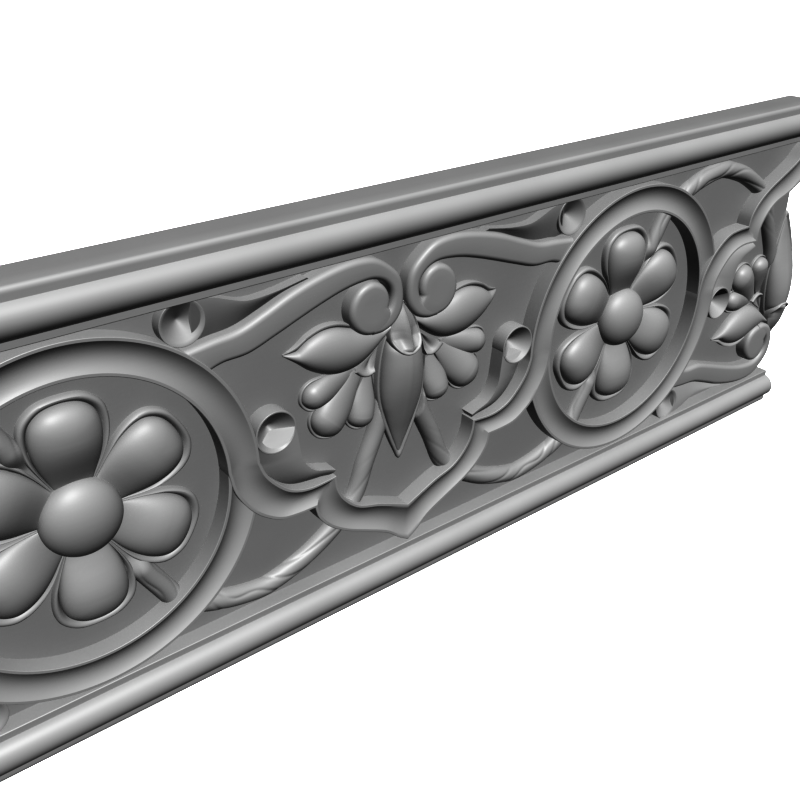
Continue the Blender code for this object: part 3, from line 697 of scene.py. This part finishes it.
def addNode(tree, kind, settings=None, values=None, links=None):
    # a node with its settings, its socket values, and the outputs that feed its sockets
    node = tree.nodes.new(kind)
    for name, value in (settings or {}).items():
        setattr(node, name, value)
    for name, value in (values or {}).items():
        node.inputs[name].default_value = value
    for name, source in (links or {}).items():
        tree.links.new(source, node.inputs[name])
    return node


primer = {
    "shadedRecess": "#727272",         # in the ground: painted shade, darker where the carving is deep
    "raised": "#7F7F7F",         # on the high parts, painted paler than the shaded ground
    "shadeFades": (8.5, 0.7),        # height above the ground where the painted shade has faded, and the pale grey's share there
    "roughness": (0.49, 0.58),
    "refraction": 1.5,
    "specular": 0.4,
    "grainWidth": 1.1,           # real pores are 0.1 mm wide; drawn coarser so that they show
    "grainLength": 26.0,
    "grainBump": (0.12, 0.1),    # strength, and depth in mm
    "stipple": 0.7,              # spray primer dries to a fine stipple, mm
    "stippleBump": (0.1, 0.05),
    "mottle": 42.0,              # slow change of tone along the board, mm
    "mottleTone": 0.5,
}


def primedHardwood():
    # limewood, carved and sanded, under two coats of grey sprayed primer: an even mid grey with a
    # soft satin sheen and a faint grain and stipple in close light; painted shade makes it darker in the
    # ground and paler on the high parts
    material = bpy.data.materials.new("primedHardwood")
    material.use_nodes = True
    tree = material.node_tree
    shader = tree.nodes["Principled BSDF"]
    place = addNode(tree, "ShaderNodeTexCoord").outputs["Object"]
    long, wide = primer["grainLength"] * mm, primer["grainWidth"] * mm
    grainPlace = addNode(tree, "ShaderNodeMapping", values={"Scale": (1 / long, 1 / wide, 1 / wide)},
                         links={"Vector": place})
    grain = addNode(tree, "ShaderNodeTexNoise", values={"Scale": 1.0, "Detail": 3.0, "Roughness": 0.6},
                    links={"Vector": grainPlace.outputs["Vector"]})
    stipple = addNode(tree, "ShaderNodeTexNoise",
                      values={"Scale": 1 / (primer["stipple"] * mm), "Detail": 2.0},
                      links={"Vector": place})
    mottle = addNode(tree, "ShaderNodeTexNoise",
                     values={"Scale": 1 / (primer["mottle"] * mm), "Detail": 4.0},
                     links={"Vector": place})
    apart = addNode(tree, "ShaderNodeSeparateXYZ", links={"Vector": place})
    # painted shade: by height above the ground, the colour runs from the darker ground grey to the paler
    # grey of the high parts, added to the mottle's random tone
    shadeFadeHeight, paleShare = primer["shadeFades"]
    height = addNode(tree, "ShaderNodeMapRange",
                     values={"From Min": -pattern["ground"] * mm,
                             "From Max": -(pattern["ground"] + shadeFadeHeight) * mm,
                             "To Min": 0.0, "To Max": paleShare},
                     links={"Value": apart.outputs["Y"]})
    tone = addNode(tree, "ShaderNodeMath", {"operation": "MULTIPLY_ADD"}, {1: primer["mottleTone"]},
                   {0: mottle.outputs["Fac"], 2: height.outputs["Result"]})
    colour = addNode(tree, "ShaderNodeMix", {"data_type": "RGBA"},
                     {6: linear(primer["shadedRecess"]), 7: linear(primer["raised"])},
                     {"Factor": tone.outputs["Value"]})
    tree.links.new(colour.outputs[2], shader.inputs["Base Color"])
    smooth, rough = primer["roughness"]
    satin = addNode(tree, "ShaderNodeMapRange",
                    values={"From Min": 0.3, "From Max": 0.7, "To Min": smooth, "To Max": rough},
                    links={"Value": mottle.outputs["Fac"]})      # the noise keeps within 0.3 to 0.7
    tree.links.new(satin.outputs["Result"], shader.inputs["Roughness"])
    strength, depth = primer["grainBump"]
    grainBump = addNode(tree, "ShaderNodeBump", values={"Strength": strength, "Distance": depth * mm},
                        links={"Height": grain.outputs["Fac"]})
    strength, depth = primer["stippleBump"]
    stippleBump = addNode(tree, "ShaderNodeBump", values={"Strength": strength, "Distance": depth * mm},
                          links={"Height": stipple.outputs["Fac"], "Normal": grainBump.outputs["Normal"]})
    tree.links.new(stippleBump.outputs["Normal"], shader.inputs["Normal"])
    shader.inputs["Metallic"].default_value = 0.0
    shader.inputs["IOR"].default_value = primer["refraction"]
    shader.inputs["Specular IOR Level"].default_value = primer["specular"]
    return material


# Studio

studio = {
    "floor": "#F4F4F4",
    "floorSize": 6.0,            # half its side, in metres
    "floorGap": 0.1,             # below the moulding, mm
    "floorRoughness": 0.9,
    "floorGlow": 0.25,           # lifts the paper floor to the white of the drawing
    "keyFrom": (-0.15, -0.58, 0.80),
    "keyStrength": 10.3,
    "keySoftness": 20.0,         # degrees across
    "backFrom": (0.35, 1.0, 0.0),
    "backStrength": 7.0,         # a weaker lamp behind, so that the back and the right end can be seen
    "backSoftness": 10.0,
    "air": 0.15,                 # even light from all round
    "contrast": 0.4545,          # light is shown in proportion, as in the drawing
    "lens": 43.26,
    "sensor": 36.0,
    "eye": (-0.19605, -0.26218, 0.17181),        # where the camera stands, in metres, and its axes
    "right": (0.7871, -0.6168, -0.0024),
    "up": (0.2939, 0.3716, 0.8807),
    "ahead": (0.5423, 0.6939, -0.4738),
}


def sunLamp(name, fromDirection, strength, softness):
    # it throws no shadows, as in the drawing
    light = bpy.data.lights.new(name, "SUN")
    light.energy = strength
    light.angle = math.radians(softness)
    light.use_shadow = False
    lamp = bpy.data.objects.new(name, light)
    lamp.rotation_euler = Vector(fromDirection).to_track_quat("Z", "Y").to_euler()
    bpy.context.scene.collection.objects.link(lamp)
    return lamp


def buildStudio():
    # a paper floor just under the moulding, pale air, a high lamp from the left and one behind
    scene = bpy.context.scene
    size = studio["floorSize"]
    z = -(rail["halfHeight"] + studio["floorGap"]) * mm
    mesh = bpy.data.meshes.new("paperFloor")
    mesh.from_pydata([(-size, -size, z), (size, -size, z), (size, size, z), (-size, size, z)], [],
                     [(0, 1, 2, 3)])
    floor = bpy.data.objects.new("paperFloor", mesh)
    scene.collection.objects.link(floor)
    paper = bpy.data.materials.new("whitePaper")     # matt, uncoated, even
    paper.use_nodes = True
    shader = paper.node_tree.nodes["Principled BSDF"]
    shader.inputs["Base Color"].default_value = linear(studio["floor"])
    shader.inputs["Roughness"].default_value = studio["floorRoughness"]
    shader.inputs["Emission Color"].default_value = linear(studio["floor"])
    shader.inputs["Emission Strength"].default_value = studio["floorGlow"]
    mesh.materials.append(paper)
    floor.visible_diffuse = False        # the floor is pale, and throws no light up under the carving
    floor.visible_glossy = False

    world = bpy.data.worlds.new("air")
    scene.world = world
    world.use_nodes = True
    tree = world.node_tree
    light = tree.nodes["Background"]
    light.inputs["Color"].default_value = (1, 1, 1, 1)
    light.inputs["Strength"].default_value = studio["air"]
    white = addNode(tree, "ShaderNodeBackground", values={"Color": (1, 1, 1, 1), "Strength": 1.0})
    path = addNode(tree, "ShaderNodeLightPath")
    both = addNode(tree, "ShaderNodeMixShader", links={0: path.outputs["Is Camera Ray"]})
    tree.links.new(light.outputs[0], both.inputs[1])
    tree.links.new(white.outputs[0], both.inputs[2])
    tree.links.new(both.outputs[0], tree.nodes["World Output"].inputs["Surface"])

    sunLamp("key", studio["keyFrom"], studio["keyStrength"], studio["keySoftness"])
    behind = sunLamp("behind", studio["backFrom"], studio["backStrength"], studio["backSoftness"])
    behind.visible_glossy = False        # no long streak on the rail's top

    lens = bpy.data.cameras.new("camera")
    lens.lens = studio["lens"]
    lens.sensor_width = studio["sensor"]
    lens.clip_start = 0.01
    camera = bpy.data.objects.new("camera", lens)
    right, up, ahead = (Vector(studio[k]) for k in ("right", "up", "ahead"))
    matrix = Matrix((right, up, -ahead)).transposed().to_4x4()
    matrix.translation = Vector(studio["eye"])
    camera.matrix_world = matrix
    scene.collection.objects.link(camera)
    scene.camera = camera
    scene.view_settings.view_transform = "Standard"
    scene.view_settings.gamma = studio["contrast"]


print("building the carved moulding")
pieces = [buildBoard(), buildBands(), buildScrolls(), buildEyesAndTails(), buildStems(), buildFlowers(),
          buildLeaves(), buildLobes(), buildBuds()]
print("pieces:", ", ".join(f"{p.name} {len(p.data.polygons)}" for p in pieces))
finish = primedHardwood()
for piece in pieces:
    piece.data.materials.append(finish)
print("finish: primed hardwood")
buildStudio()
print("studio: floor, lamps, camera")
